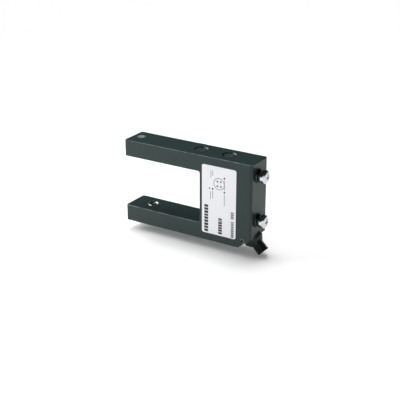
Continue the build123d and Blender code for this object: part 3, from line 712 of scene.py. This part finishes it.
@dataclass
class Optics:
    """Both ends of the light beam: ring, lens, holder and diode, with the indicator beside them."""

    ring_edge_mm: float = 0.08
    ends: tuple[str, str] = ("emitter", "receiver")

    def build(self, frame: dict) -> None:
        """Dresses both ends, the indicator, and the adjusters' cases, which match the holders.
        """
        dress(frame, PLATED_RING, *(f"{end}_bezel" for end in self.ends))
        dress(frame, LENS_GLASS, *(f"{end}_lens" for end in self.ends))
        dress(frame, BLACK_POLYESTER, *(f"{end}_holder" for end in self.ends),
              "sensitivity_case", "mode_case")
        dress(frame, CLEAR_EPOXY, "emitter_diode", "indicator_lamp")
        dress(frame, DARK_EPOXY, "receiver_diode")
        dress(frame, WINDOW_RESIN, "indicator_window")
        soften(frame, self.ring_edge_mm, *(f"{end}_bezel" for end in self.ends))


@dataclass
class Adjusters:
    """The two screwdriver-turned adjusters in the top face."""

    edge_mm: float = 0.15
    names: tuple[str, str] = ("sensitivity", "mode")

    def build(self, frame: dict) -> None:
        """Dresses sleeves and rotors.
        """
        dress(frame, BLACK_ACETAL, *(f"{name}_bush" for name in self.names))
        dress(frame, GREY_NYLON, *(f"{name}_rotor" for name in self.names))
        soften(frame, self.edge_mm, *(f"{name}_{part}" for name in self.names for part in ("bush", "rotor")))


@dataclass
class Connector:
    """The angled connector: a shell with a real thread, an insert and four pins."""

    # The thread, with half of its flat crest and its flank as shares of the pitch.
    pitch_mm: float = 1.0
    crest_half: float = 0.06
    flank: float = 0.34
    run_in_mm: float = 0.1
    run_out_mm: float = 0.35
    # Radii, from the widest to the narrowest.
    collar_mm: float = 4.5
    barrel_mm: float = 4.2
    crest_mm: float = 4.0
    relief_mm: float = 3.5
    root_mm: float = 3.42
    bore_mm: float = 3.4
    socket_mm: float = 3.1
    # Places along the axis, outwards from where it leaves the casting's slope.
    barrel_low_mm: float = -6.6
    seat_mm: float = 3.3
    collar_top_mm: float = 4.0
    thread_low_mm: float = 4.4
    floor_mm: float = 4.5
    thread_high_mm: float = 10.15
    end_mm: float = 10.4
    # Eased edges: the collar's, the mouth's, and the lip's, which goes back, out and in.
    collar_edge_mm: float = 0.12
    mouth_edge_mm: float = 0.15
    lip_back_mm: float = 0.04
    lip_out_mm: float = 0.02
    lip_in_mm: float = 0.06
    # How finely it is built, and the angle below which its faces are shaded as one.
    around: int = 72
    rows_per_turn: int = 12
    smooth_degrees: float = 40.0

    def axes(self, record: dict) -> tuple[Vector, Vector, Vector, Vector]:
        """Finds the connector's place from the record's thread mount.

        Args:
            record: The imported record.

        Returns:
            Where the axis leaves the slope, its direction, and two directions across it.
        """
        mount = next(m for m in record["mounts"] if m["name"] == "connector_thread")
        along = Vector(mount["axis"]).normalized()
        middle = (self.thread_low_mm + self.thread_high_mm) / 2 * MM
        side = Vector((0.0, 1.0, 0.0))
        return Vector(mount["pos_m"]) - along * middle, along, side, along.cross(side)

    def thread_radius(self, height: float, turn: float) -> float:
        """Radius of the thread's surface.

        Args:
            height: Height along the axis.
            turn: Angle round the axis as a share of a turn.

        Returns:
            The radius, with a flat crest, a 60 degree flank and a run-out at each end.
        """
        phase = (height / self.pitch_mm - turn) % 1.0
        sunk = min(1.0, max(0.0, (abs(phase - 0.5) - self.crest_half) / self.flank))
        depth = (self.crest_mm - self.root_mm) * sunk
        from_end = min(height - self.thread_low_mm, self.thread_high_mm - height)
        return self.crest_mm - depth * min(1.0, max(0.0, from_end / self.run_out_mm))

    def rings(self) -> list[tuple[float, Callable[[float], float]]]:
        """Every ring of points along the shell's surface, from the barrel's low end round to its bore.

        Returns:
            Each ring's height, and its radius by the share of a turn.
        """
        def plain(radius: float) -> Callable[[float], float]:
            """A round ring."""
            return lambda turn: radius

        rows = int((self.thread_high_mm - self.thread_low_mm) / self.pitch_mm * self.rows_per_turn)
        step = (self.thread_high_mm - self.thread_low_mm) / rows
        soft, mouth = self.collar_edge_mm, self.mouth_edge_mm
        lip = self.crest_mm - (self.end_mm - self.thread_high_mm)
        lower = [(self.barrel_low_mm, self.bore_mm), (self.barrel_low_mm, self.barrel_mm),
                 (self.seat_mm, self.barrel_mm), (self.seat_mm, self.collar_mm - soft),
                 (self.seat_mm + soft, self.collar_mm), (self.collar_top_mm - soft, self.collar_mm),
                 (self.collar_top_mm, self.collar_mm - soft), (self.collar_top_mm, self.relief_mm),
                 (self.thread_low_mm - self.run_in_mm, self.relief_mm)]
        upper = [(self.end_mm - self.lip_back_mm, lip + self.lip_out_mm),
                 (self.end_mm, lip - self.lip_in_mm), (self.end_mm, self.socket_mm + mouth),
                 (self.end_mm - mouth, self.socket_mm), (self.floor_mm, self.socket_mm),
                 (self.floor_mm, self.bore_mm)]
        rings = [(height, plain(radius)) for height, radius in lower]
        for row in range(rows + 1):
            height = self.thread_low_mm + row * step
            rings.append((height, lambda turn, h=height: self.thread_radius(h, turn)))
        return rings + [(height, plain(radius)) for height, radius in upper]

    def shell(self, record: dict) -> None:
        """Builds the threaded shell in place of the plain solid.

        Args:
            record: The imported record.
        """
        origin, along, side, across = self.axes(record)
        rings = self.rings()
        points, faces = [], []
        for height, radius in rings:
            for i in range(self.around):
                angle = 2 * math.pi * i / self.around
                out = side * math.cos(angle) + across * math.sin(angle)
                points.append(origin + along * (height * MM) + out * (radius(i / self.around) * MM))
        for row in range(len(rings)):
            above = (row + 1) % len(rings)
            for i in range(self.around):
                j = (i + 1) % self.around
                faces.append([row * self.around + i, row * self.around + j, above * self.around + j,
                              above * self.around + i])
        shell = add_piece("threaded_connector_shell", points, faces, BLACK_BRASS,
                          self.smooth_degrees)
        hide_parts("connector_shell")

    def build(self, frame: dict) -> None:
        """Builds the shell, and dresses what it holds and the solid that it stands for.
        """
        self.shell(frame["record"])
        dress(frame, BLACK_POLYESTER, "connector_insert", "connector_key")
        dress(frame, GOLD_PLATE, "contact_pins")
        dress(frame, LEAD_VINYL, "connector_leads")
        dress(frame, BLACK_BRASS, "connector_shell")


@dataclass
class Fasteners:
    """The two rear mounting screws with their washers."""

    edge_mm: float = 0.12
    places: tuple[str, str] = ("upper", "lower")

    def build(self, frame: dict) -> None:
        """Dresses screws and washers.
        """
        dress(frame, NICKEL_PLATE, *(f"{place}_mount_screw" for place in self.places))
        dress(frame, BLACK_ZINC, *(f"{place}_flat_washer" for place in self.places))
        dress(frame, SPRING_STEEL, *(f"{place}_spring_washer" for place in self.places))
        soften(frame, self.edge_mm, *(f"{place}_flat_washer" for place in self.places))


@dataclass
class Electronics:
    """The circuit board inside the casting."""

    def build(self, frame: dict) -> None:
        """Dresses the board and its main pieces.
        """
        dress(frame, LAMINATE, "circuit_board")
        dress(frame, CHIP_EPOXY, "controller_chip", "output_driver")
        dress(frame, DRAWN_CAN, "supply_capacitors")


# Studio


def direction(azimuth: float, elevation: float) -> Vector:
    """Direction from the object; azimuth zero is the front, positive to the right, in degrees.

    Args:
        azimuth: Angle round the upright axis.
        elevation: Angle above the horizon.

    Returns:
        A vector of length one.
    """
    turn, rise = math.radians(azimuth), math.radians(elevation)
    return Vector((math.sin(turn) * math.cos(rise), -math.cos(turn) * math.cos(rise), math.sin(rise)))


@dataclass(frozen=True)
class Lamp:
    """A far lamp: its light in watts per square metre, its width, and where it stands, in degrees.

    Azimuth zero is the front, positive to the right. Mirrored says whether glossy surfaces show it.
    """

    name: str
    strength: float
    spread: float
    azimuth: float
    elevation: float
    mirrored: bool


@dataclass
class Studio:
    """A plain white floor in a dim room with soft far lamps and one soft box near the tips.

    The horizon's two heights are where the room's white starts to fade and where it has gone, as the
    upward part of a direction of length one.
    """

    floor_half_m: float = 4.0
    floor_drop_m: float = 0.0001
    floor_colour: str = "#FDFDFD"
    floor_roughness: float = 0.9
    floor_glow: float = 0.09
    room_light: float = 0.02
    horizon: Pair = (0.03, 0.14)
    lamps: tuple[Lamp, ...] = (
        Lamp("main_lamp", 2.16, 38.0, 212.0, 69.0, False),
        Lamp("sky_lamp", 0.36, 150.0, 0.0, 89.9, False),
        Lamp("low_front_lamp", 0.85, 24.0, 20.0, 15.0, True),
        Lamp("left_lamp", 0.5, 30.0, -97.0, 29.0, True),
    )
    box_watts: float = 0.40
    box_mm: float = 150.0
    box_azimuth: float = -66.0
    box_elevation: float = 36.0
    box_distance_mm: float = 250.0

    def seen_directly(self, tree: Tree) -> Socket:
        """Tells the rays that look at a surface from those that light others.

        Args:
            tree: The nodes of the floor or the room.

        Returns:
            One for a camera, glossy or transmission ray, else zero.
        """
        path = add_node(tree, "ShaderNodeLightPath").outputs
        either = add_node(tree, "ShaderNodeMath", {"operation": "MAXIMUM"},
                          {0: path["Is Camera Ray"], 1: path["Is Glossy Ray"]}).outputs[0]
        return add_node(tree, "ShaderNodeMath", {"operation": "MAXIMUM"},
                        {0: either, 1: path["Is Transmission Ray"]}).outputs[0]

    def floor(self) -> None:
        """Lays the floor just under the lowest point, with a glow that only the eye and mirrors see."""
        low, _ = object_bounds()
        half = self.floor_half_m
        height = low[2] - self.floor_drop_m
        corners = [(x * half, y * half, height) for x, y in ((-1, -1), (1, -1), (1, 1), (-1, 1))]
        mesh = bpy.data.meshes.new("studio_floor")
        mesh.from_pydata(corners, [], [(0, 1, 2, 3)])
        material = bpy.data.materials.new("painted_studio_floor")
        material.use_nodes = True
        tree = material.node_tree
        shader = tree.nodes["Principled BSDF"]
        shader.inputs["Base Color"].default_value = linear(self.floor_colour)
        shader.inputs["Roughness"].default_value = self.floor_roughness
        shader.inputs["Specular IOR Level"].default_value = 0.0
        shader.inputs["Emission Color"].default_value = linear("#FFFFFF")
        glow = add_node(tree, "ShaderNodeMath", {"operation": "MULTIPLY", 1: self.floor_glow},
                        {0: self.seen_directly(tree)}).outputs[0]
        tree.links.new(glow, shader.inputs["Emission Strength"])
        mesh.materials.append(material)
        floor = bpy.data.objects.new("studio_floor", mesh)
        bpy.context.scene.collection.objects.link(floor)
        floor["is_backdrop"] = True

    def room(self) -> None:
        """Dim room light, white near the horizon for the eye so that low views end in white."""
        world = bpy.data.worlds.new("studio_room")
        bpy.context.scene.world = world
        world.use_nodes = True
        tree = world.node_tree
        background = tree.nodes["Background"]
        background.inputs["Color"].default_value = linear("#FFFFFF")
        towards = add_node(tree, "ShaderNodeTexCoord").outputs["Generated"]
        height = add_node(tree, "ShaderNodeSeparateXYZ", links={0: towards}).outputs[2]
        start, gone = self.horizon
        low = add_node(tree, "ShaderNodeMapRange",
                       {"From Min": start, "From Max": gone, "To Min": 1.0, "To Max": 0.0},
                       {"Value": height}).outputs[0]
        seen = add_node(tree, "ShaderNodeMath", {"operation": "MULTIPLY"},
                        {0: low, 1: self.seen_directly(tree)}).outputs[0]
        strength = add_node(tree, "ShaderNodeMapRange", {"To Min": self.room_light, "To Max": 1.0},
                            {"Value": seen}).outputs[0]
        tree.links.new(strength, background.inputs["Strength"])

    def far_lamp(self, lamp: Lamp) -> None:
        """Adds a far lamp.

        Args:
            lamp: The lamp.
        """
        light = bpy.data.lights.new(lamp.name, "SUN")
        light.energy = lamp.strength
        light.angle = math.radians(lamp.spread)
        stand = bpy.data.objects.new(lamp.name, light)
        stand.rotation_euler = direction(lamp.azimuth, lamp.elevation).to_track_quat("Z", "Y").to_euler()
        stand.visible_glossy = lamp.mirrored
        bpy.context.scene.collection.objects.link(stand)

    def soft_box(self) -> None:
        """Hangs the soft box near the tips, where it brightens them more than the rear."""
        light = bpy.data.lights.new("left_soft_box", "AREA")
        light.energy = self.box_watts
        light.size = self.box_mm * MM
        box = bpy.data.objects.new("left_soft_box", light)
        towards = direction(self.box_azimuth, self.box_elevation)
        low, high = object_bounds()
        middle = (Vector(low) + Vector(high)) / 2
        box.location = middle + towards * (self.box_distance_mm * MM)
        box.rotation_euler = towards.to_track_quat("Z", "Y").to_euler()
        box.visible_camera = False
        bpy.context.scene.collection.objects.link(box)

    def build(self) -> None:
        """Builds floor, room and lamps."""
        self.floor()
        self.room()
        for lamp in self.lamps:
            self.far_lamp(lamp)
        self.soft_box()
        bpy.context.scene.view_settings.view_transform = "Standard"
        LOG.info("studio built")


@dataclass
class PhotoCamera:
    """The camera at the photograph's angle, aimed at a point in the middle of the object."""

    azimuth: float = 32.084
    elevation: float = 21.935
    lens_mm: float = 88.94
    film_mm: float = 36.0
    distance_mm: float = 610.23
    aim_mm: tuple[float, float, float] = (-41.37, 0.0, -6.31)
    clip_m: Pair = (0.01, 20.0)

    def build(self) -> None:
        """Makes the camera and sets it as the scene's."""
        camera = bpy.data.cameras.new("photo_camera")
        camera.lens = self.lens_mm
        camera.sensor_width = self.film_mm
        camera.clip_start, camera.clip_end = self.clip_m
        back = direction(self.azimuth, self.elevation)
        stand = bpy.data.objects.new("photo_camera", camera)
        stand.location = (Vector(self.aim_mm) + back * self.distance_mm) * MM
        stand.rotation_euler = back.to_track_quat("Z", "Y").to_euler()
        bpy.context.scene.collection.objects.link(stand)
        bpy.context.scene.camera = stand
        LOG.info("camera set")


def main() -> None:
    """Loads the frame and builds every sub-assembly in order."""
    logging.basicConfig(level=logging.INFO, format="%(message)s")
    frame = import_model()
    for kind in (Casting, RatingLabel, Optics, Adjusters, Connector, Fasteners, Electronics):
        kind().build(frame)
        LOG.info("%s done", kind.__name__)
    Studio().build()
    PhotoCamera().build()


if __name__ == "__main__":
    main()
